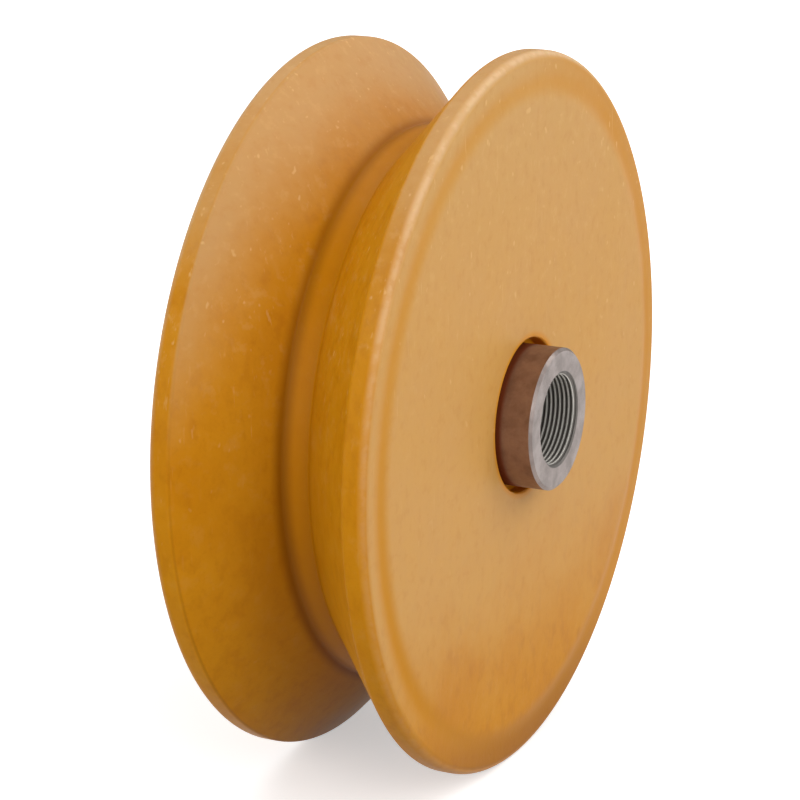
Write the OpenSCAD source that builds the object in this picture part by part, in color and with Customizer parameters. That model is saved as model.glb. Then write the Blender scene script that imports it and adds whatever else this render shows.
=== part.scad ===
// Nylon gate wheel, 6 inch class, that runs on a threaded steel bush.
// Millimetres, +Z up. The origin is the centre of the wheel, which turns about the Y axis.

/* [Wheel] */
// Diameter over the rim
wheel_d = 152; // [130:1:200]
// Width of the wheel from face to face
wheel_w = 48; // [45:0.5:60]
// Radial width of the soft step between each face and the band along the rim
step_w = 5.3; // [2:0.1:8]
// How far the band along the rim lies below the face
step_drop = 0.5; // [0.3:0.1:1.2]
// Radial width of the flat band along the rim
band_w = 3.1; // [1:0.1:8]
// Radius between the band and the rim
rim_radius = 2; // [0.5:0.25:3]

/* [Track groove] */
// Angle between the two sides of the groove
groove_angle = 85; // [80:1:92]
// Width of each flange at the rim, from the groove to the band
flange_w = 4.8; // [4:0.1:7]
// Width of the bottom of the groove
root_w = 5.9; // [3:0.1:8]
// Radius where the sides meet the bottom of the groove
root_radius = 1; // [0.5:0.25:2]
// Radius of the lips where the sides meet the rim
lip_radius = 1.2; // [0.4:0.1:1.5]

/* [Fit on the bush] */
// Radial clearance of the wheel on its bush
running_gap = 0.08; // [0.05:0.01:0.1]
// Radial width of the relief around the bush at each face
relief_w = 1.35; // [0.8:0.05:3]
// Depth of the relief below each face
relief_depth = 3; // [1:0.5:8]
// Radius on the edge of the relief
relief_radius = 0.5; // [0.2:0.1:0.8]

/* [Threaded bush] */
// Outside diameter of the bush
bush_d = 30; // [26:0.5:40]
// How far the bush stands out of each face
bush_stand = 7.25; // [4:0.25:12]
// Chamfer on the outer edge of each end
bush_chamfer = 0.6; // [0.3:0.1:1.2]
// Nominal diameter of the internal thread
thread_d = 20; // [12:1:22]
// Pitch of the internal thread
thread_pitch = 1; // [0.75:0.25:2]
// Radial width by which the countersink at each mouth is wider than the thread
countersink_over = 0.2; // [0.1:0.05:0.6]

/* [Hidden] */
$fn = 180;
// Overlap of a cutting shape past the face that it cuts
past = 1;
// How far a rounding runs over the faces it joins, so that no sliver stays between them
hair = 0.0002;
wheel_r = wheel_d / 2;
half_w = wheel_w / 2;
// Step: two equal arcs, one out of the face and one into the band, that meet halfway
step_radius = (step_w * step_w + step_drop * step_drop) / (4 * step_drop);
band_y = half_w - step_drop;
step_out = wheel_r - rim_radius - band_w;
step_mid = step_out - step_w / 2;
step_in = step_out - step_w;
// The groove fills the rim between the two flanges, and its angle then sets its depth
groove_side = groove_angle / 2;
mouth_w = 2 * (band_y - flange_w);
groove_depth = (mouth_w - root_w) / 2 / tan(groove_side);
root_r = wheel_r - groove_depth;
bush_r = bush_d / 2;
bush_half = half_w + bush_stand;
wheel_bore_r = bush_r + running_gap;
relief_r = bush_r + relief_w;
// An internal thread's crests stand 5/8 of its sharp height inside the nominal diameter
crest_share = 5 / 8;
sharp_height = thread_pitch * cos(30);
thread_crest_r = thread_d / 2 - crest_share * sharp_height;
countersink_r = thread_d / 2 + countersink_over;
countersink_depth = countersink_r - thread_crest_r;

// Unit vector at an angle
function toward(angle) = [cos(angle), sin(angle)];

// The sliver between a corner and the arc that rounds it; the corner's sides leave it at angles a and b
module corner_sliver(corner, a, b, radius) {
    half = abs(b - a) / 2;
    reach = radius / tan(half);
    inward = toward((a + b) / 2);
    centre = corner + inward * radius / sin(half);
    foot_a = corner + toward(a) * reach;
    foot_b = corner + toward(b) * reach;
    beyond = past / radius;
    difference() {
        polygon([
            corner - inward * past,
            foot_a + (foot_a - centre) * beyond,
            centre,
            foot_b + (foot_b - centre) * beyond
        ]);
        translate(centre)
            circle(radius + hair);
    }
}

// What the step, the band and the rim radius take off one corner of the section
module rim_corner_cut() {
    difference() {
        translate([step_in, half_w - step_drop / 2])
            square([step_w / 2, step_drop / 2 + past]);
        translate([step_in, half_w - step_radius])
            circle(step_radius);
    }
    intersection() {
        translate([step_mid, band_y])
            square([step_w / 2, step_drop + past]);
        translate([step_out, band_y + step_radius])
            circle(step_radius);
    }
    translate([step_out, band_y])
        square([rim_radius + band_w + past, step_drop + past]);
    corner_sliver([wheel_r, band_y], 180, 270, rim_radius);
}

// The V of the groove with its rounded bottom
module groove_cut() {
    mouth_past = mouth_w / 2 + past * tan(groove_side);
    difference() {
        polygon([
            [root_r, -root_w / 2],
            [wheel_r + past, -mouth_past],
            [wheel_r + past, mouth_past],
            [root_r, root_w / 2]
        ]);
        for (side = [0, 1])
            mirror([0, side])
                corner_sliver([root_r, root_w / 2], groove_side, -90, root_radius);
    }
}

// What the relief around the bush takes off one face
module relief_cut() {
    translate([0, half_w - relief_depth])
        square([relief_r, relief_depth + past]);
    corner_sliver([relief_r, half_w], 0, -90, relief_radius);
}

// Half of the wheel's section: radius to the right, the axle upward
module wheel_section() {
    difference() {
        translate([wheel_bore_r, -half_w])
            square([wheel_r - wheel_bore_r, wheel_w]);
        groove_cut();
        for (side = [0, 1])
            mirror([0, side]) {
                rim_corner_cut();
                relief_cut();
                corner_sliver([wheel_r, mouth_w / 2], 90, 180 + groove_side, lip_radius);
            }
    }
}

// One solid nylon wheel with the V groove turned into its tread
module wheel() {
    color([0.76, 0.5, 0.1])
        rotate([-90, 0, 0])
            rotate_extrude()
                wheel_section();
}

// Steel sleeve that stays clamped while the wheel turns; its bore carries the thread
module threaded_bush() {
    color([0.55, 0.53, 0.52])
        rotate([-90, 0, 0])
            rotate_extrude()
                polygon([
                    [thread_crest_r, -bush_half + countersink_depth],
                    [countersink_r, -bush_half],
                    [bush_r - bush_chamfer, -bush_half],
                    [bush_r, -bush_half + bush_chamfer],
                    [bush_r, bush_half - bush_chamfer],
                    [bush_r - bush_chamfer, bush_half],
                    [countersink_r, bush_half],
                    [thread_crest_r, bush_half - countersink_depth]
                ]);
}

wheel();
threaded_bush();
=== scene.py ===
"""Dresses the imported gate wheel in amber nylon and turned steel, in a pale studio."""

import logging
import math
from dataclasses import dataclass
from enum import Enum

import bmesh
import bpy
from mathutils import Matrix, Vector

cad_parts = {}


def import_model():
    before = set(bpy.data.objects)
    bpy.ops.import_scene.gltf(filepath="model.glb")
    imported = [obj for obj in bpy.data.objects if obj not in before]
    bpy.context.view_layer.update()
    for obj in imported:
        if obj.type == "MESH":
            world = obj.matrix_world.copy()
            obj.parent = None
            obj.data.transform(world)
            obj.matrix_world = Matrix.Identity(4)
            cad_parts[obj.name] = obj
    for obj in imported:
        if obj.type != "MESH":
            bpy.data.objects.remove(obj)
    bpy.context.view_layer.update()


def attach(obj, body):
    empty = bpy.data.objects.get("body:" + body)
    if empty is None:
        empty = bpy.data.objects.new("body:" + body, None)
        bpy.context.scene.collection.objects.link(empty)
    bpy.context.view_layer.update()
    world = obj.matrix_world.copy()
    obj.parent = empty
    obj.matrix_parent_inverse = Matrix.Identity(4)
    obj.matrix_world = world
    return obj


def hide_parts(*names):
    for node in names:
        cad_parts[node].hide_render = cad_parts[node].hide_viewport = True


LOG = logging.getLogger("gate_wheel")
MM = 0.001
IMAGE_PIXELS = 800
SENSOR_MM = 36.0

Colour = tuple[float, float, float, float]
Triple = tuple[float, float, float]
# Where a fade starts and ends, and its value at both places
Fade = tuple[float, float, float, float]
FLIP: Fade = (0.0, 1.0, 1.0, 0.0)


class Body(Enum):
    """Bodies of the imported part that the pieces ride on."""

    BUSH = "fixed_bush"
    WHEEL = "turning_wheel"


class Node(Enum):
    """CAD nodes that the pieces stand for."""

    BUSH = "threaded_bush"
    WHEEL = "wheel"


class Slot(Enum):
    """Material slots of the record."""

    NYLON = "nylon"
    STEEL = "steel"


class BushZone(Enum):
    """Zones of the bush in the order of its material slots."""

    SIDE = 0
    END = 1
    THREAD = 2


class Axis(Enum):
    """Axes of the frame in the order of a vector's parts."""

    TRACK = 0
    AXLE = 1
    UP = 2


def srgb(red: int, green: int, blue: int) -> Colour:
    """Turns a screen colour into the linear colour that a shader takes.

    Args:
        red: Red from 0 to 255.
        green: Green from 0 to 255.
        blue: Blue from 0 to 255.

    Returns:
        Linear red, green, blue and a full alpha.
    """

    def linear(level: int) -> float:
        """Returns one channel in linear light."""
        value = level / 255.0
        return value / 12.92 if value <= 0.04045 else ((value + 0.055) / 1.055) ** 2.4

    return (linear(red), linear(green), linear(blue), 1.0)


@dataclass(frozen=True)
class Pattern:
    """One noise pattern: features per metre, finer layers, their strength, a stretch by axis."""

    scale: float
    detail: float
    rough: float
    stretch: Triple | None = None


class FinishGraph:
    """Node tree of one material, with short calls for the nodes that the finishes share."""

    def __init__(self, name: str) -> None:
        """Starts a material with one shader and the object's own coordinates.

        Args:
            name: Name of the material.
        """
        self.material = bpy.data.materials.new(name)
        self.material.use_nodes = True
        self.tree = self.material.node_tree
        self.tree.nodes.clear()
        output = self.tree.nodes.new("ShaderNodeOutputMaterial")
        self.shader = self.tree.nodes.new("ShaderNodeBsdfPrincipled")
        self.tree.links.new(self.shader.outputs[0], output.inputs["Surface"])
        self.place = self.tree.nodes.new("ShaderNodeTexCoord").outputs["Object"]

    def link(self, source: bpy.types.NodeSocket, target: str) -> None:
        """Feeds a value into the named input of the shader."""
        self.tree.links.new(source, self.shader.inputs[target])

    def fix(self, **values: object) -> None:
        """Sets constant inputs of the shader; an underscore in a name stands for a space."""
        for name, value in values.items():
            self.shader.inputs[name.replace("_", " ")].default_value = value

    def noise(self, pattern: Pattern) -> bpy.types.NodeSocket:
        """Adds a noise pattern.

        Args:
            pattern: Size and make of the pattern.

        Returns:
            The pattern's value from 0 to 1.
        """
        node = self.tree.nodes.new("ShaderNodeTexNoise")
        node.inputs["Scale"].default_value = pattern.scale
        node.inputs["Detail"].default_value = pattern.detail
        node.inputs["Roughness"].default_value = pattern.rough
        place = self.place
        if pattern.stretch is not None:
            mapping = self.tree.nodes.new("ShaderNodeMapping")
            mapping.inputs["Scale"].default_value = pattern.stretch
            self.tree.links.new(place, mapping.inputs["Vector"])
            place = mapping.outputs["Vector"]
        self.tree.links.new(place, node.inputs["Vector"])
        return node.outputs[0]

    def fade(self, value: bpy.types.NodeSocket, fade: Fade) -> bpy.types.NodeSocket:
        """Maps one range of a value smoothly onto another.

        Args:
            value: The value to map.
            fade: Where the range starts and ends, and the results there.

        Returns:
            The mapped value.
        """
        node = self.tree.nodes.new("ShaderNodeMapRange")
        node.interpolation_type = "SMOOTHSTEP"
        for index, number in enumerate(fade, start=1):
            node.inputs[index].default_value = number
        self.tree.links.new(value, node.inputs[0])
        return node.outputs[0]

    def maths(
        self,
        operation: str,
        first: bpy.types.NodeSocket,
        second: bpy.types.NodeSocket | float | None = None,
    ) -> bpy.types.NodeSocket:
        """Combines two values.

        Args:
            operation: Blender's name of the operation.
            first: First value.
            second: Second value, where the operation has one.

        Returns:
            The result.
        """
        node = self.tree.nodes.new("ShaderNodeMath")
        node.operation = operation
        self.tree.links.new(first, node.inputs[0])
        if isinstance(second, (int, float)):
            node.inputs[1].default_value = second
        elif second is not None:
            self.tree.links.new(second, node.inputs[1])
        return node.outputs[0]

    def product(
        self, first: bpy.types.NodeSocket, *others: bpy.types.NodeSocket | float
    ) -> bpy.types.NodeSocket:
        """Multiplies values.

        Args:
            first: First value.
            others: The values that it is multiplied by.

        Returns:
            The product.
        """
        for other in others:
            first = self.maths("MULTIPLY", first, other)
        return first

    def mix(
        self,
        factor: bpy.types.NodeSocket,
        first: bpy.types.NodeSocket | Colour,
        second: bpy.types.NodeSocket | Colour,
    ) -> bpy.types.NodeSocket:
        """Mixes two colours.

        Args:
            factor: Share of the second colour.
            first: First colour.
            second: Second colour.

        Returns:
            The mixed colour.
        """
        node = self.tree.nodes.new("ShaderNodeMix")
        node.data_type = "RGBA"
        self.tree.links.new(factor, node.inputs[0])
        for index, colour in ((6, first), (7, second)):
            if isinstance(colour, tuple):
                node.inputs[index].default_value = colour
            else:
                self.tree.links.new(colour, node.inputs[index])
        return node.outputs[2]

    def axle_distance(self) -> tuple[bpy.types.NodeSocket, bpy.types.NodeSocket]:
        """Measures from the axle.

        Returns:
            The distance from the axle, and the place along it.
        """
        across, along, up = (self.place_along(axis) for axis in Axis)
        squares = self.maths("ADD", self.product(across, across), self.product(up, up))
        return self.maths("SQRT", squares), along

    def circle_band(
        self, radius: float, along: float, reach: float, share: float
    ) -> bpy.types.NodeSocket:
        """Shades a band around a circle about the axle.

        Args:
            radius: Radius of the circle.
            along: Place of the circle along the axle.
            reach: Distance at which the band ends.
            share: Strength on the circle itself.

        Returns:
            The strength of the band.
        """
        from_axle, place = self.axle_distance()
        rise = self.maths("SUBTRACT", from_axle, radius)
        aside = self.maths("SUBTRACT", place, along)
        squares = self.maths("ADD", self.product(rise, rise), self.product(aside, aside))
        return self.fade(self.maths("SQRT", squares), (0.0, reach, share, 0.0))

    def place_along(self, axis: Axis) -> bpy.types.NodeSocket:
        """Splits one coordinate off the object's own ones.

        Args:
            axis: The coordinate's axis.

        Returns:
            The coordinate.
        """
        split = self.tree.nodes.new("ShaderNodeSeparateXYZ")
        self.tree.links.new(self.place, split.inputs[0])
        return split.outputs[axis.value]

    def bump(self, heights: tuple[tuple[bpy.types.NodeSocket, float], ...]) -> None:
        """Raises the surface by several patterns.

        Args:
            heights: Patterns with the height in metres that each one spans.
        """
        normal = None
        for height, distance in heights:
            node = self.tree.nodes.new("ShaderNodeBump")
            node.inputs["Distance"].default_value = distance
            self.tree.links.new(height, node.inputs["Height"])
            if normal is not None:
                self.tree.links.new(normal, node.inputs["Normal"])
            normal = node.outputs[0]
        self.link(normal, "Normal")


@dataclass(frozen=True)
class NylonFinish:
    """Satin amber nylon, mottled and scuffed, with painted sheen on the faces and up high, a
    painted highlight on the rim edges, and painted shade low down, in the face steps and in the
    groove.
    """

    deep: Colour = srgb(200, 129, 8)
    warm: Colour = srgb(208, 139, 18)
    stain: Colour = srgb(180, 107, 4)
    # Painted sheen: pale colour on the faces in place of the pale floor's reflection
    face_sheen: Colour = srgb(209, 160, 93)
    # Painted sheen from above, on the groove's rear side and on the rims up high
    top_sheen: Colour = srgb(200, 152, 94)
    fleck: Colour = srgb(232, 190, 130)
    # Painted highlight along the rounded rim edges of the faces
    rim_highlight: Colour = srgb(234, 198, 154)
    # Painted shade in the step near each face's rim, and on the faces' border towards the right
    step_shade: Colour = srgb(202, 133, 16)
    # Saturated amber for painted shade around the bore, where the bush meets the wheel
    bore_shade: Colour = srgb(216, 138, 0)
    # Saturated amber for painted shade on the groove's floor
    groove_floor_shade: Colour = srgb(188, 117, 0)
    # Dark amber for painted shade in the groove, its corners, the rear lip and the faces' lower
    # border
    painted_shade: Colour = srgb(138, 80, 0)

    cloud: Pattern = Pattern(38.0, 4.0, 0.55)
    blotch: Pattern = Pattern(300.0, 4.0, 0.62, (1.0, 1.0, 0.6))
    patch: Pattern = Pattern(330.0, 3.0, 0.6)
    dent: Pattern = Pattern(210.0, 3.0, 0.6)
    grain: Pattern = Pattern(1500.0, 3.0, 0.6)
    streak: Pattern = Pattern(1.0, 1.0, 0.5, (520.0, 800.0, 380.0))
    scuff: Pattern = Pattern(1.0, 3.0, 0.6, (760.0, 760.0, 85.0))

    warm_cloud: Fade = (0.3, 0.7, 0.0, 1.0)
    blotch_stain: Fade = (0.48, 0.7, 0.0, 0.34)
    blotch_fleck: Fade = (0.3, 0.46, 0.04, 0.0)
    grain_stain: Fade = (0.52, 0.8, 0.0, 0.24)
    patch_stain: Fade = (0.5, 0.72, 0.0, 0.13)
    patch_fleck: Fade = (0.28, 0.46, 0.12, 0.0)
    patch_breaks: Fade = (0.3, 0.6, 0.5, 1.0)
    streak_share: Fade = (0.7, 0.8, 0.0, 0.4)
    scuff_share: Fade = (0.62, 0.76, 0.0, 0.26)
    uneven: Fade = (0.2, 0.8, -9.0 * MM, 9.0 * MM)

    face_along: Fade = (23.2 * MM, 23.48 * MM, 0.0, 1.0)
    rim_along: Fade = (18.5 * MM, 19.5 * MM, 0.0, 1.0)
    rear_along: Fade = (0.0, 4.0 * MM, 0.0, 1.0)
    groove_along: Fade = (19.0 * MM, 20.5 * MM, 1.0, 0.0)
    scuff_along: Fade = (2.95 * MM, 8.85 * MM, 0.0, 1.0)

    top_sheen_radius: float = 70.0 * MM
    top_sheen_slope: float = 3.0
    top_sheen_climb: Fade = (10.0 * MM, 70.0 * MM, 0.0, 1.0)
    rim_top_sheen_height: Fade = (26.0 * MM, 76.0 * MM, 0.0, 1.0)
    face_sheen_height: Fade = (-64.0 * MM, -20.0 * MM, 0.0, 0.78)
    fleck_height: Fade = (-15.0 * MM, 45.0 * MM, 0.2, 1.0)
    scuff_height: Fade = (-25.0 * MM, 45.0 * MM, 0.15, 1.0)

    rim_highlight_radius: float = 75.4 * MM
    rim_highlight_along: float = 22.9 * MM
    rim_highlight_reach: float = 1.5 * MM
    rim_highlight_height: Fade = (-20.0 * MM, 70.0 * MM, 0.15, 0.65)

    step_shade_radius: float = 69.5 * MM
    step_shade_width: Fade = (0.0, 3.7 * MM, 1.0, 0.0)
    step_shade_height: Fade = (-50.0 * MM, 76.0 * MM, 0.95, 0.4)
    border_radius: Fade = (65.0 * MM, 72.0 * MM, 0.0, 1.0)
    border_shade_side: Fade = (-10.0 * MM, 45.0 * MM, 0.0, 0.65)
    border_foot_shade: Fade = (-76.0 * MM, -50.0 * MM, 0.6, 0.0)

    groove_shade_radius: Fade = (58.81 * MM, 74.0 * MM, 0.3, 0.0)
    groove_shade_height: Fade = (-20.0 * MM, 60.0 * MM, 1.0, 0.1)
    bottom_radius: Fade = (58.81 * MM, 60.01 * MM, 0.7, 0.0)
    bottom_shade_height: Fade = (-45.0 * MM, 20.0 * MM, 0.6, 0.0)
    corner_radius: float = 58.81 * MM
    corner_along: float = 2.95 * MM
    corner_reach: float = 2.9 * MM
    rear_corner_share: float = 0.95
    front_corner_share: float = 0.25
    corner_height: Fade = (-20.0 * MM, 60.0 * MM, 1.0, 0.55)

    lip_radius: float = 75.6 * MM
    lip_along: float = 18.75 * MM
    lip_reach: float = 0.5 * MM
    lip_share: float = 0.8
    lip_height: Fade = (-40.0 * MM, 40.0 * MM, 1.0, 0.15)
    bore_shade_radius: Fade = (16.5 * MM, 18.2 * MM, 0.9, 0.0)

    shine: Fade = (0.2, 0.8, 0.38, 0.48)
    glow_weight: float = 0.1
    glow_radius: Triple = (0.004, 0.0016, 0.0004)
    index: float = 1.16
    cloud_rise: float = 0.15 * MM
    dent_rise: float = 0.05 * MM
    grain_rise: float = 0.015 * MM

    def on_face(self, graph: FinishGraph) -> bpy.types.NodeSocket:
        """Returns one on the two faces with their bands, and zero elsewhere."""
        from_middle = graph.maths("ABSOLUTE", graph.place_along(Axis.AXLE))
        return graph.fade(from_middle, self.face_along)

    def amber(self, graph: FinishGraph, cloud: bpy.types.NodeSocket) -> bpy.types.NodeSocket:
        """Mottles the bare nylon.

        Args:
            graph: Graph to work in.
            cloud: Broad noise that the steps share.

        Returns:
            The nylon's colour.
        """
        blotch = graph.noise(self.blotch)
        grain = graph.noise(self.grain)
        body = graph.mix(graph.fade(cloud, self.warm_cloud), self.deep, self.warm)
        body = graph.mix(graph.fade(blotch, self.blotch_stain), body, self.stain)
        body = graph.mix(graph.fade(blotch, self.blotch_fleck), body, self.fleck)
        return graph.mix(graph.fade(grain, self.grain_stain), body, self.stain)

    def pale(
        self, graph: FinishGraph, body: bpy.types.NodeSocket, cloud: bpy.types.NodeSocket
    ) -> bpy.types.NodeSocket:
        """Paints sheen on the faces, and up high on the rims and the groove's rear side; then
        adds random stains, flecks and a painted highlight on the rim edges.

        Args:
            graph: Graph to work in.
            body: Colour so far.
            cloud: Broad noise that the steps share.

        Returns:
            The colour with the painted sheen and highlight.
        """
        radius, along = graph.axle_distance()
        height = graph.maths("ADD", graph.place_along(Axis.UP), graph.fade(cloud, self.uneven))
        # Painted sheen from above: the groove's rear side turns paler higher up and further out
        outward = graph.maths("SUBTRACT", radius, self.top_sheen_radius)
        climb = graph.maths("ADD", height, graph.product(outward, self.top_sheen_slope))
        rims = graph.fade(graph.maths("ABSOLUTE", along), self.rim_along)
        rear_side = graph.product(graph.fade(along, self.rear_along), graph.fade(rims, FLIP))
        rear_sheen = graph.product(rear_side, graph.fade(climb, self.top_sheen_climb))
        body = graph.mix(rear_sheen, body, self.top_sheen)
        # Painted sheen from above on the rims near the top
        rim_sheen = graph.product(rims, graph.fade(height, self.rim_top_sheen_height))
        body = graph.mix(rim_sheen, body, self.top_sheen)
        # Painted sheen on the faces, fading out towards the bottom
        face_sheen_mask = graph.product(self.on_face(graph), graph.fade(height, self.face_sheen_height))
        body = graph.mix(face_sheen_mask, body, self.face_sheen)
        patch = graph.noise(self.patch)
        body = graph.mix(graph.fade(patch, self.patch_stain), body, self.stain)
        upper = graph.fade(height, self.fleck_height)
        flecked = graph.product(upper, graph.fade(patch, self.patch_fleck))
        body = graph.mix(flecked, body, self.fleck)
        # Painted highlight: a pale, broken line around the rim edge of each face, stronger up
        # high
        high = graph.fade(height, self.rim_highlight_height)
        rim_highlight_strength = graph.product(high, graph.fade(patch, self.patch_breaks))
        for highlight_along in (-self.rim_highlight_along, self.rim_highlight_along):
            line = graph.circle_band(self.rim_highlight_radius, highlight_along, self.rim_highlight_reach, 1.0)
            body = graph.mix(graph.product(line, rim_highlight_strength), body, self.rim_highlight)
        return body

    def shaded_face(
        self, graph: FinishGraph, body: bpy.types.NodeSocket
    ) -> bpy.types.NodeSocket:
        """Paints shade into the step of the faces, their border and the edge around the bush.

        Args:
            graph: Graph to work in.
            body: Colour so far.

        Returns:
            The colour with the painted shade.
        """
        radius, _ = graph.axle_distance()
        height = graph.place_along(Axis.UP)
        face = self.on_face(graph)
        # Painted shade: a darker, more saturated band along the step near each face's rim,
        # stronger low down
        off_step_shade = graph.maths("ABSOLUTE", graph.maths("SUBTRACT", radius, self.step_shade_radius))
        in_step_shade = graph.product(face, graph.fade(off_step_shade, self.step_shade_width))
        step_shade_mask = graph.product(in_step_shade, graph.fade(height, self.step_shade_height))
        body = graph.mix(step_shade_mask, body, self.step_shade)
        border = graph.product(face, graph.fade(radius, self.border_radius))
        # Painted shade: the faces' outer border turns darker towards the right side
        right_shade = graph.fade(graph.place_along(Axis.TRACK), self.border_shade_side)
        body = graph.mix(graph.product(border, right_shade), body, self.step_shade)
        # Painted shade: the faces' outer border darkens towards the bottom
        low_border_shade = graph.fade(height, self.border_foot_shade)
        body = graph.mix(graph.product(border, low_border_shade), body, self.painted_shade)
        # Painted shade around the bore, next to the bush
        return graph.mix(graph.fade(radius, self.bore_shade_radius), body, self.bore_shade)

    def shaded_groove(
        self, graph: FinishGraph, body: bpy.types.NodeSocket
    ) -> bpy.types.NodeSocket:
        """Paints shade into the groove, its bottom, the corners there and the rear lip.

        Args:
            graph: Graph to work in.
            body: Colour so far.

        Returns:
            The colour with the painted shade.
        """
        radius, along = graph.axle_distance()
        height = graph.place_along(Axis.UP)
        groove = graph.fade(graph.maths("ABSOLUTE", along), self.groove_along)
        # Painted shade: the groove darkens deeper down and towards the bottom
        deeper = graph.product(groove, graph.fade(radius, self.groove_shade_radius))
        groove_shade = graph.product(deeper, graph.fade(height, self.groove_shade_height))
        body = graph.mix(groove_shade, body, self.painted_shade)
        # Painted shade on the groove's floor
        bottom = graph.product(groove, graph.fade(radius, self.bottom_radius))
        body = graph.mix(bottom, body, self.groove_floor_shade)
        # Painted shade: the groove's floor darkens further towards the bottom
        bottom_shade = graph.product(bottom, graph.fade(height, self.bottom_shade_height))
        body = graph.mix(bottom_shade, body, self.painted_shade)
        # Painted shade in the two corners of the groove's floor, strongest in the rear one and
        # low down
        lower = graph.fade(height, self.corner_height)
        for corner, share in (
            (self.corner_along, self.rear_corner_share),
            (-self.corner_along, self.front_corner_share),
        ):
            line = graph.circle_band(self.corner_radius, corner, self.corner_reach, share)
            body = graph.mix(graph.product(line, lower), body, self.painted_shade)
        # Painted shade: a dark line along the rear lip's edge, fading out up high
        lip = graph.circle_band(self.lip_radius, self.lip_along, self.lip_reach, self.lip_share)
        faint = graph.fade(height, self.lip_height)
        return graph.mix(graph.product(lip, faint), body, self.painted_shade)

    def scuffed(self, graph: FinishGraph, body: bpy.types.NodeSocket) -> bpy.types.NodeSocket:
        """Adds fine pale scuffs, which thin out low down and towards the groove's bottom.

        Args:
            graph: Graph to work in.
            body: Colour so far.

        Returns:
            The colour with the scuffs.
        """
        from_middle = graph.maths("ABSOLUTE", graph.place_along(Axis.AXLE))
        clear = graph.fade(from_middle, self.scuff_along)
        high = graph.fade(graph.place_along(Axis.UP), self.scuff_height)
        where = graph.product(clear, high)
        broad = graph.product(where, graph.fade(graph.noise(self.scuff), self.scuff_share))
        fine = graph.product(where, graph.fade(graph.noise(self.streak), self.streak_share))
        body = graph.mix(broad, body, self.fleck)
        return graph.mix(fine, body, self.fleck)

    def material(self) -> bpy.types.Material:
        """Builds the material.

        Returns:
            The nylon material.
        """
        graph = FinishGraph("amber_nylon")
        cloud = graph.noise(self.cloud)
        body = self.pale(graph, self.amber(graph, cloud), cloud)
        body = self.shaded_face(graph, self.shaded_groove(graph, body))
        graph.link(self.scuffed(graph, body), "Base Color")
        graph.link(graph.fade(cloud, self.shine), "Roughness")
        graph.fix(
            Subsurface_Weight=self.glow_weight,
            Subsurface_Radius=self.glow_radius,
            Subsurface_Scale=1.0,
            IOR=self.index,
        )
        graph.bump(
            (
                (cloud, self.cloud_rise),
                (graph.noise(self.dent), self.dent_rise),
                (graph.noise(self.grain), self.grain_rise),
            )
        )
        return graph.material


@dataclass(frozen=True)
class BushSideFinish:
    """Outside of the bush: steel with a brown film of oxide, and painted shade where it enters
    the wheel.
    """

    light: Colour = srgb(150, 116, 94)
    dark: Colour = srgb(120, 86, 64)
    # Painted shade where the bush enters the wheel, tinted by the amber nylon
    foot_shade: Colour = srgb(122, 50, 0)
    cloud: Pattern = Pattern(160.0, 5.0, 0.6)
    turned: Pattern = Pattern(1.0, 2.0, 0.5, (40.0, 2600.0, 40.0))
    speck: Pattern = Pattern(1400.0, 3.0, 0.6)
    light_cloud: Fade = (0.3, 0.7, 0.0, 1.0)
    speck_share: Fade = (0.6, 0.75, 0.0, 0.4)
    foot_shade_along: Fade = (23.9 * MM, 25.0 * MM, 0.9, 0.0)
    shine: Fade = (0.25, 0.75, 0.6, 0.42)
    metal: float = 0.55
    turned_rise: float = 0.02 * MM
    speck_rise: float = 0.015 * MM

    def material(self) -> bpy.types.Material:
        """Builds the material.

        Returns:
            The oxidised steel material.
        """
        graph = FinishGraph("oxidised_steel")
        cloud = graph.noise(self.cloud)
        speck = graph.noise(self.speck)
        film = graph.mix(graph.fade(cloud, self.light_cloud), self.dark, self.light)
        film = graph.mix(graph.fade(speck, self.speck_share), film, self.dark)
        from_middle = graph.maths("ABSOLUTE", graph.place_along(Axis.AXLE))
        # Painted shade near the middle of the bush, where it enters the wheel
        film = graph.mix(graph.fade(from_middle, self.foot_shade_along), film, self.foot_shade)
        graph.link(film, "Base Color")
        graph.link(graph.fade(cloud, self.shine), "Roughness")
        graph.fix(Metallic=self.metal)
        graph.bump(((graph.noise(self.turned), self.turned_rise), (speck, self.speck_rise)))
        return graph.material


@dataclass(frozen=True)
class BushEndFinish:
    """Ends of the bush: bright steel with the rings that turning leaves."""

    bright: Colour = srgb(142, 130, 125)
    dull: Colour = srgb(118, 107, 102)
    cloud: Pattern = Pattern(220.0, 4.0, 0.6)
    speck: Pattern = Pattern(1800.0, 2.0, 0.6)
    bright_cloud: Fade = (0.3, 0.7, 0.0, 1.0)
    speck_share: Fade = (0.62, 0.75, 0.0, 0.4)
    shine: Fade = (0.3, 0.7, 0.42, 0.32)
    metal: float = 0.85
    ring_pitch: float = 0.18 * MM
    ring_rise: float = 0.004 * MM
    speck_rise: float = 0.008 * MM

    def material(self) -> bpy.types.Material:
        """Builds the material.

        Returns:
            The turned steel material.
        """
        graph = FinishGraph("turned_steel")
        radius, _ = graph.axle_distance()
        rings = graph.maths("SINE", graph.product(radius, math.tau / self.ring_pitch))
        cloud = graph.noise(self.cloud)
        speck = graph.noise(self.speck)
        face = graph.mix(graph.fade(cloud, self.bright_cloud), self.dull, self.bright)
        face = graph.mix(graph.fade(speck, self.speck_share), face, self.dull)
        graph.link(face, "Base Color")
        graph.link(graph.fade(cloud, self.shine), "Roughness")
        graph.fix(Metallic=self.metal)
        graph.bump(((rings, self.ring_rise), (speck, self.speck_rise)))
        return graph.material


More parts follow.
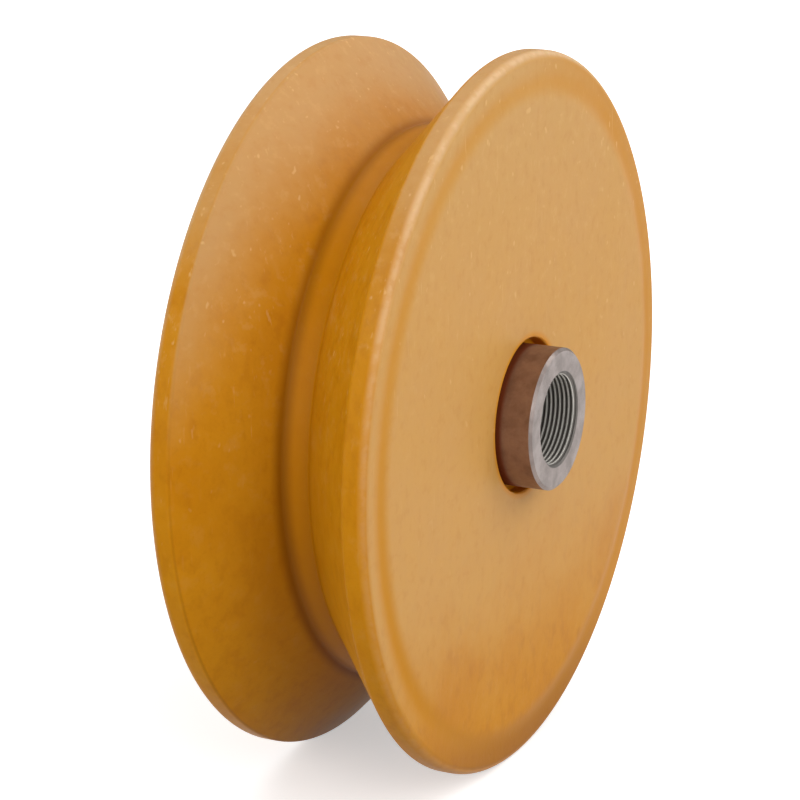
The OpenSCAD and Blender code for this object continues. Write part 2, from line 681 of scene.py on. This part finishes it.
@dataclass(frozen=True)
class ThreadFinish:
    """Thread of the bush: light crests and dark roots, partly crests polished by use and oil in
    the roots, partly painted highlight on the crests and painted shade in the roots.
    """

    # Crests light and roots dark: partly polish and oil, partly painted highlight and shade
    crest: Colour = srgb(214, 210, 202)
    root: Colour = srgb(102, 97, 92)
    speck: Pattern = Pattern(1600.0, 3.0, 0.6)
    depth: Fade = (9.47 * MM, 9.66 * MM, 0.0, 1.0)
    speck_share: Fade = (0.58, 0.75, 0.0, 0.5)
    shine: Fade = (0.3, 0.7, 0.45, 0.6)
    metal: float = 0.6
    speck_rise: float = 0.01 * MM

    def material(self) -> bpy.types.Material:
        """Builds the material.

        Returns:
            The thread's material.
        """
        graph = FinishGraph("threaded_steel")
        radius, _ = graph.axle_distance()
        speck = graph.noise(self.speck)
        # Painted highlight on the crests and painted shade in the roots, besides their polish
        # and oil
        wall = graph.mix(graph.fade(radius, self.depth), self.crest, self.root)
        wall = graph.mix(graph.fade(speck, self.speck_share), wall, self.root)
        graph.link(wall, "Base Color")
        graph.link(graph.fade(speck, self.shine), "Roughness")
        graph.fix(Metallic=self.metal)
        graph.bump(((speck, self.speck_rise),))
        return graph.material


class SectionPen:
    """Draws half of a turned section: X is the radius and Y runs along the axle."""

    def __init__(self, mesh: bmesh.types.BMesh, radius: float, along: float) -> None:
        """Sets the pen down.

        Args:
            mesh: Mesh to draw in.
            radius: Distance from the axle.
            along: Place along the axle.
        """
        self.mesh = mesh
        self.tip = mesh.verts.new((radius, along, 0.0))

    def line_to(self, radius: float, along: float) -> None:
        """Draws a straight stretch.

        Args:
            radius: Distance of its end from the axle.
            along: Place of its end along the axle.
        """
        made = bmesh.ops.extrude_vert_indiv(self.mesh, verts=[self.tip])
        self.tip = made["verts"][0]
        self.tip.co = (radius, along, 0.0)

    def arc(self, radius: float, along: float, turn: float, steps: int) -> None:
        """Draws a round stretch.

        Args:
            radius: Distance of the arc's centre from the axle.
            along: Place of the arc's centre along the axle.
            turn: Angle in radians, positive to the left.
            steps: Number of edges.
        """
        made = bmesh.ops.spin(
            self.mesh,
            geom=[self.tip],
            cent=(radius, along, 0.0),
            axis=(0.0, 0.0, 1.0),
            angle=turn,
            steps=steps,
        )
        self.tip = next(g for g in made["geom_last"] if isinstance(g, bmesh.types.BMVert))


class TurnedPiece:
    """Shared steps of a piece that is turned about the axle."""

    WELD = 1e-6

    @classmethod
    def turn(cls, mesh: bmesh.types.BMesh, steps: int) -> None:
        """Mirrors half a section about the middle plane and turns it into a closed skin.

        Args:
            mesh: Mesh that holds half of the section.
            steps: Number of steps in a full turn.
        """
        half = mesh.verts[:] + mesh.edges[:]
        bmesh.ops.mirror(mesh, geom=half, axis="Y", merge_dist=cls.WELD)
        bmesh.ops.spin(
            mesh,
            geom=mesh.verts[:] + mesh.edges[:],
            cent=(0.0, 0.0, 0.0),
            axis=(0.0, 1.0, 0.0),
            angle=math.tau,
            steps=steps,
            use_merge=True,
        )
        cls.close(mesh)

    @classmethod
    def close(cls, mesh: bmesh.types.BMesh) -> None:
        """Welds doubles and turns all faces outwards."""
        bmesh.ops.remove_doubles(mesh, verts=mesh.verts[:], dist=cls.WELD)
        bmesh.ops.recalc_face_normals(mesh, faces=mesh.faces[:])

    @staticmethod
    def to_object(mesh: bmesh.types.BMesh, name: str) -> bpy.types.Object:
        """Makes an object of a finished mesh.

        Args:
            mesh: The mesh, which is freed.
            name: Name of the piece.

        Returns:
            The object, at the origin.
        """
        data = bpy.data.meshes.new(name)
        mesh.to_mesh(data)
        mesh.free()
        piece = bpy.data.objects.new(name, data)
        bpy.context.collection.objects.link(piece)
        return piece

    @staticmethod
    def smooth(piece: bpy.types.Object, crease_degrees: float) -> None:
        """Shades a piece smoothly and keeps its crisp edges.

        Args:
            piece: The piece.
            crease_degrees: Angle over which an edge stays crisp.
        """
        piece.data.shade_smooth()
        piece.data.set_sharp_from_angle(angle=math.radians(crease_degrees))
        weighted = piece.modifiers.new("weighted_normals", "WEIGHTED_NORMAL")
        weighted.keep_sharp = True


@dataclass
class NylonWheel(TurnedPiece):
    """The one-piece nylon wheel, from the same sizes as its solid."""

    rim_radius: float = 76.0 * MM
    half_width: float = 24.0 * MM
    step_width: float = 5.3 * MM
    step_drop: float = 0.5 * MM
    band_width: float = 3.1 * MM
    rim_round: float = 2.0 * MM
    groove_side: float = math.radians(42.5)
    flange_width: float = 4.8 * MM
    root_half: float = 2.95 * MM
    root_round: float = 1.0 * MM
    lip_round: float = 1.2 * MM
    bore_radius: float = 15.08 * MM
    relief_radius: float = 16.35 * MM
    relief_depth: float = 3.0 * MM
    relief_round: float = 0.5 * MM
    turn_steps: int = 288
    relief_steps: int = 6
    soft_steps: int = 8
    rim_steps: int = 16
    crease_degrees: float = 35.0

    def section(self, mesh: bmesh.types.BMesh) -> None:
        """Draws half of the section, from the bore to the middle of the groove.

        Args:
            mesh: Mesh to draw in.
        """
        band = self.half_width - self.step_drop
        step_radius = (self.step_width**2 + self.step_drop**2) / (4.0 * self.step_drop)
        step_turn = math.asin(self.step_width / (2.0 * step_radius))
        rim_centre = self.rim_radius - self.rim_round
        step_out = rim_centre - self.band_width
        step_in = step_out - self.step_width
        quarter = math.pi / 2.0
        side_turn = quarter - self.groove_side
        mouth_half = band - self.flange_width
        depth = (mouth_half - self.root_half) / math.tan(self.groove_side)
        root = self.rim_radius - depth
        lip_start = mouth_half + self.lip_round * math.tan(side_turn / 2.0)
        root_reach = self.root_round * math.tan(side_turn / 2.0)
        along_side = Vector((math.cos(self.groove_side), math.sin(self.groove_side)))
        off_side = Vector((math.sin(self.groove_side), -math.cos(self.groove_side)))
        root_start = Vector((root, self.root_half)) + along_side * root_reach
        root_centre = root_start + off_side * self.root_round
        relief_floor = self.half_width - self.relief_depth
        relief_edge = self.half_width - self.relief_round

        pen = SectionPen(mesh, self.bore_radius, 0.0)
        pen.line_to(self.bore_radius, relief_floor)
        pen.line_to(self.relief_radius, relief_floor)
        pen.line_to(self.relief_radius, relief_edge)
        pen.arc(self.relief_radius + self.relief_round, relief_edge, -quarter, self.relief_steps)
        pen.line_to(step_in, self.half_width)
        pen.arc(step_in, self.half_width - step_radius, -step_turn, self.soft_steps)
        pen.arc(step_out, band + step_radius, step_turn, self.soft_steps)
        pen.line_to(rim_centre, band)
        pen.arc(rim_centre, band - self.rim_round, -quarter, self.rim_steps)
        pen.line_to(self.rim_radius, lip_start)
        pen.arc(self.rim_radius - self.lip_round, lip_start, -side_turn, self.soft_steps)
        pen.line_to(root_start.x, root_start.y)
        pen.arc(root_centre.x, root_centre.y, side_turn, self.soft_steps)
        pen.line_to(root, 0.0)

    def build(self, finish: NylonFinish) -> bpy.types.Object:
        """Builds the wheel and dresses it.

        Args:
            finish: Finish of the nylon.

        Returns:
            The wheel, riding on its body in place of its solid.
        """
        mesh = bmesh.new()
        self.section(mesh)
        self.turn(mesh, self.turn_steps)
        piece = self.to_object(mesh, "nylon_wheel")
        self.smooth(piece, self.crease_degrees)
        piece.data.materials.append(finish.material())
        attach(piece, Body.WHEEL.value)
        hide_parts(Node.WHEEL.value)
        return piece


@dataclass
class ThreadedBush(TurnedPiece):
    """The steel bush with its thread cut as a real helix."""

    radius: float = 15.0 * MM
    half_length: float = 31.25 * MM
    chamfer: float = 0.6 * MM
    countersink: float = 10.2 * MM
    thread_radius: float = 10.0 * MM
    pitch: float = 1.0 * MM
    doublings: int = 6
    steps_per_turn: int = 72
    turn_steps: int = 144
    crest_inset: float = 0.625 * math.cos(math.radians(30.0))
    crest_flat: float = 0.25
    root_flat: float = 0.125
    flank: float = 0.3125
    end_slope: float = 0.5
    side_inset: float = 0.9 * MM
    crease_degrees: float = 28.0

    @property
    def crest_radius(self) -> float:
        """Radius of the thread's crests, 5/8 of the sharp height inside the nominal one."""
        return self.thread_radius - self.crest_inset * self.pitch

    def blank(self) -> bpy.types.Object:
        """Turns the bush before it is tapped, with a conical countersink in each end.

        Returns:
            The solid blank.
        """
        mesh = bmesh.new()
        pen = SectionPen(mesh, 0.0, self.half_length - self.countersink)
        pen.line_to(self.countersink, self.half_length)
        pen.line_to(self.radius - self.chamfer, self.half_length)
        pen.line_to(self.radius, self.half_length - self.chamfer)
        pen.line_to(self.radius, 0.0)
        self.turn(mesh, self.turn_steps)
        return self.to_object(mesh, "threaded_bush_body")

    def tap(self) -> bpy.types.Object:
        """Makes the screw that cuts the thread.

        Returns:
            The closed screw, longer than the bush.
        """
        mesh = bmesh.new()
        turns = 2**self.doublings
        start = -(turns + 1) * self.pitch / 2.0
        crest, root = self.crest_radius, self.thread_radius
        profile = (
            (crest, self.crest_flat),
            (root, self.flank),
            (root, self.root_flat),
            (crest, self.flank),
        )
        pen = SectionPen(mesh, crest, start)
        along = start
        for radius, share in profile:
            along += share * self.pitch
            pen.line_to(radius, along)
        bmesh.ops.spin(
            mesh,
            geom=mesh.verts[:] + mesh.edges[:],
            cent=(0.0, 0.0, 0.0),
            axis=(0.0, 1.0, 0.0),
            dvec=(0.0, self.pitch / self.steps_per_turn, 0.0),
            angle=math.tau,
            steps=self.steps_per_turn,
        )
        for doubling in range(self.doublings):
            screw = mesh.verts[:] + mesh.edges[:] + mesh.faces[:]
            made = bmesh.ops.duplicate(mesh, geom=screw)["geom"]
            longer = [g for g in made if isinstance(g, bmesh.types.BMVert)]
            step = Vector((0.0, 2**doubling * self.pitch, 0.0))
            bmesh.ops.translate(mesh, verts=longer, vec=step)
        bmesh.ops.remove_doubles(mesh, verts=mesh.verts[:], dist=self.WELD)
        rims = [edge for edge in mesh.edges if edge.is_boundary]
        bmesh.ops.holes_fill(mesh, edges=rims, sides=0)
        bmesh.ops.recalc_face_normals(mesh, faces=mesh.faces[:])
        return self.to_object(mesh, "bush_tap")

    @staticmethod
    def cut(blank: bpy.types.Object, tool: bpy.types.Object) -> None:
        """Cuts a tool's shape out of a blank and removes the tool.

        Args:
            blank: Object that is cut.
            tool: Object that cuts it.
        """
        modifier = blank.modifiers.new("thread_cut", "BOOLEAN")
        modifier.operation = "DIFFERENCE"
        modifier.solver = "EXACT"
        modifier.object = tool
        graph = bpy.context.evaluated_depsgraph_get()
        cut = bpy.data.meshes.new_from_object(blank.evaluated_get(graph))
        blank.modifiers.clear()
        uncut = blank.data
        blank.data = cut
        bpy.data.meshes.remove(uncut)
        cutter = tool.data
        bpy.data.objects.remove(tool)
        bpy.data.meshes.remove(cutter)

    def zone(self, face: bpy.types.MeshPolygon) -> BushZone:
        """Tells which zone of the bush a face is in.

        Args:
            face: A face of the bush.

        Returns:
            Its zone.
        """
        from_axle = math.hypot(face.center.x, face.center.z)
        if abs(face.normal.y) > self.end_slope and from_axle > self.countersink:
            return BushZone.END
        outside = from_axle > self.radius - self.side_inset
        return BushZone.SIDE if outside else BushZone.THREAD

    def build(
        self, side: BushSideFinish, end: BushEndFinish, thread: ThreadFinish
    ) -> bpy.types.Object:
        """Builds the bush and dresses it.

        Args:
            side: Finish of its outside.
            end: Finish of its two ends.
            thread: Finish of its thread.

        Returns:
            The bush, riding on its body in place of its solid.
        """
        piece = self.blank()
        self.cut(piece, self.tap())
        piece.data.materials.clear()
        for finish in (side, end, thread):
            piece.data.materials.append(finish.material())
        for face in piece.data.polygons:
            face.material_index = self.zone(face).value
        self.smooth(piece, self.crease_degrees)
        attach(piece, Body.BUSH.value)
        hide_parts(Node.BUSH.value)
        return piece


@dataclass(frozen=True)
class SoftLamp:
    """One square soft lamp that faces the wheel."""

    name: str
    place: Triple
    watts: float
    size: float = 0.8

    def hang(self) -> None:
        """Hangs the lamp in the scene."""
        light = bpy.data.lights.new(self.name, "AREA")
        light.shape = "SQUARE"
        light.size = self.size
        light.energy = self.watts
        lamp = bpy.data.objects.new(self.name, light)
        bpy.context.collection.objects.link(lamp)
        place = Vector(self.place)
        lamp.location = place
        lamp.rotation_euler = (-place).to_track_quat("-Z", "Y").to_euler()


@dataclass
class Studio:
    """Pale floor, soft lamps and the camera at the photo's angle."""

    floor_level: float = -76.0 * MM
    floor_half: float = 6.0
    floor_cells: int = 8
    floor_bounce: Colour = (0.4, 0.4, 0.4, 1.0)
    floor_white: Colour = (0.85, 0.85, 0.85, 1.0)
    glow_scale: float = 0.5
    glow_stops: tuple[tuple[float, float], ...] = ((0.04, 0.48), (0.2, 0.6), (0.8, 0.82))
    lamps: tuple[SoftLamp, ...] = (
        SoftLamp("key_lamp", (-0.715, -0.715, 0.735), 4.8),
        SoftLamp("front_lamp", (-0.308, -1.148, 0.386), 3.7),
        SoftLamp("front_right_lamp", (0.633, -0.755, 0.77), 5.3),
        SoftLamp("right_lamp", (1.104, 0.0, 0.587), 1.2),
        SoftLamp("rear_lamp", (0.359, 0.621, 1.024), 3.8),
        SoftLamp("left_lamp", (-1.077, 0.502, 0.386), 4.8),
    )
    azimuth: float = math.radians(-64.86)
    elevation: float = math.radians(16.16)
    distance: float = 625.2 * MM
    focal_pixels: float = 2942.2
    room_level: float = 0.36
    centre_x: float = 423.45
    centre_y: float = 401.68

    def floor(self) -> bpy.types.Object:
        """Lays the floor, white where it is lit and grey in the wheel's shadow.

        Returns:
            The floor.
        """
        mesh = bmesh.new()
        bmesh.ops.create_grid(
            mesh,
            x_segments=self.floor_cells,
            y_segments=self.floor_cells,
            size=self.floor_half,
        )
        bmesh.ops.translate(mesh, verts=mesh.verts[:], vec=(0.0, 0.0, self.floor_level))
        piece = TurnedPiece.to_object(mesh, "studio_floor")
        material = bpy.data.materials.new("pale_floor")
        material.use_nodes = True
        tree = material.node_tree
        tree.nodes.clear()
        output = tree.nodes.new("ShaderNodeOutputMaterial")
        seen = self.seen_rays(tree)
        white = tree.nodes.new("ShaderNodeMix")
        white.data_type = "RGBA"
        white.inputs[6].default_value = self.floor_bounce
        white.inputs[7].default_value = self.floor_white
        tree.links.new(seen, white.inputs[0])
        matte = tree.nodes.new("ShaderNodeBsdfDiffuse")
        tree.links.new(white.outputs[2], matte.inputs["Color"])
        glow = tree.nodes.new("ShaderNodeEmission")
        lift = tree.nodes.new("ShaderNodeMath")
        lift.operation = "MULTIPLY"
        tree.links.new(seen, lift.inputs[0])
        tree.links.new(self.floor_glow(tree), lift.inputs[1])
        tree.links.new(lift.outputs[0], glow.inputs["Strength"])
        both = tree.nodes.new("ShaderNodeAddShader")
        tree.links.new(matte.outputs[0], both.inputs[0])
        tree.links.new(glow.outputs[0], both.inputs[1])
        tree.links.new(both.outputs[0], output.inputs["Surface"])
        piece.data.materials.append(material)
        return piece

    def floor_glow(self, tree: bpy.types.NodeTree) -> bpy.types.NodeSocket:
        """Makes up for the lamps' fall-off across the floor.

        Args:
            tree: Node tree to work in.

        Returns:
            The glow, which grows with the distance from the wheel.
        """
        place = tree.nodes.new("ShaderNodeTexCoord").outputs["Object"]
        length = tree.nodes.new("ShaderNodeVectorMath")
        length.operation = "LENGTH"
        tree.links.new(place, length.inputs[0])
        scaled = tree.nodes.new("ShaderNodeMath")
        scaled.operation = "MULTIPLY"
        scaled.inputs[1].default_value = self.glow_scale
        tree.links.new(length.outputs["Value"], scaled.inputs[0])
        level = tree.nodes.new("ShaderNodeValToRGB")
        elements = level.color_ramp.elements
        elements.new(self.glow_stops[1][0])
        for element, (place_at, glow) in zip(elements, self.glow_stops):
            element.position = place_at
            element.color = (glow, glow, glow, 1.0)
        tree.links.new(scaled.outputs[0], level.inputs[0])
        return level.outputs[0]

    @staticmethod
    def seen_rays(tree: bpy.types.NodeTree) -> bpy.types.NodeSocket:
        """Finds the rays that show the background.

        Args:
            tree: Node tree to work in.

        Returns:
            One for camera, glossy and transmission rays, else zero.
        """
        rays = tree.nodes.new("ShaderNodeLightPath")
        total = rays.outputs["Is Camera Ray"]
        for name in ("Is Glossy Ray", "Is Transmission Ray"):
            either = tree.nodes.new("ShaderNodeMath")
            either.operation = "MAXIMUM"
            tree.links.new(total, either.inputs[0])
            tree.links.new(rays.outputs[name], either.inputs[1])
            total = either.outputs[0]
        return total

    def world(self) -> None:
        """Sets a dim room around the lit floor."""
        world = bpy.data.worlds.new("studio_world")
        bpy.context.scene.world = world
        world.use_nodes = True
        room = world.node_tree.nodes["Background"]
        room.inputs["Color"].default_value = (1.0, 1.0, 1.0, 1.0)
        room.inputs["Strength"].default_value = self.room_level

    def camera(self) -> bpy.types.Object:
        """Sets the camera that the photo was fitted with.

        Returns:
            The camera.
        """
        lens = bpy.data.cameras.new("photo_camera")
        lens.sensor_width = SENSOR_MM
        lens.lens = self.focal_pixels / IMAGE_PIXELS * SENSOR_MM
        middle = IMAGE_PIXELS / 2.0
        lens.shift_x = (middle - self.centre_x) / IMAGE_PIXELS
        lens.shift_y = (self.centre_y - middle) / IMAGE_PIXELS
        lens.clip_start = 0.01
        camera = bpy.data.objects.new("photo_camera", lens)
        bpy.context.collection.objects.link(camera)
        toward = Vector(
            (
                math.cos(self.elevation) * math.sin(self.azimuth),
                -math.cos(self.elevation) * math.cos(self.azimuth),
                math.sin(self.elevation),
            )
        )
        camera.location = toward * self.distance
        camera.rotation_euler = (-toward).to_track_quat("-Z", "Y").to_euler()
        bpy.context.scene.camera = camera
        return camera

    def build(self) -> None:
        """Sets up the floor, the surround, the lamps and the camera."""
        bpy.context.scene.view_settings.view_transform = "Standard"
        self.floor()
        self.world()
        for lamp in self.lamps:
            lamp.hang()
        self.camera()


def main() -> None:
    """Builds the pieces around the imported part."""
    logging.basicConfig(level=logging.INFO, format="%(name)s: %(message)s")
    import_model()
    Studio().build()
    pieces = (
        NylonWheel().build(NylonFinish()),
        ThreadedBush().build(BushSideFinish(), BushEndFinish(), ThreadFinish()),
    )
    for piece in pieces:
        LOG.info("%s: %d faces", piece.name, len(piece.data.polygons))


if __name__ == "__main__":
    main()
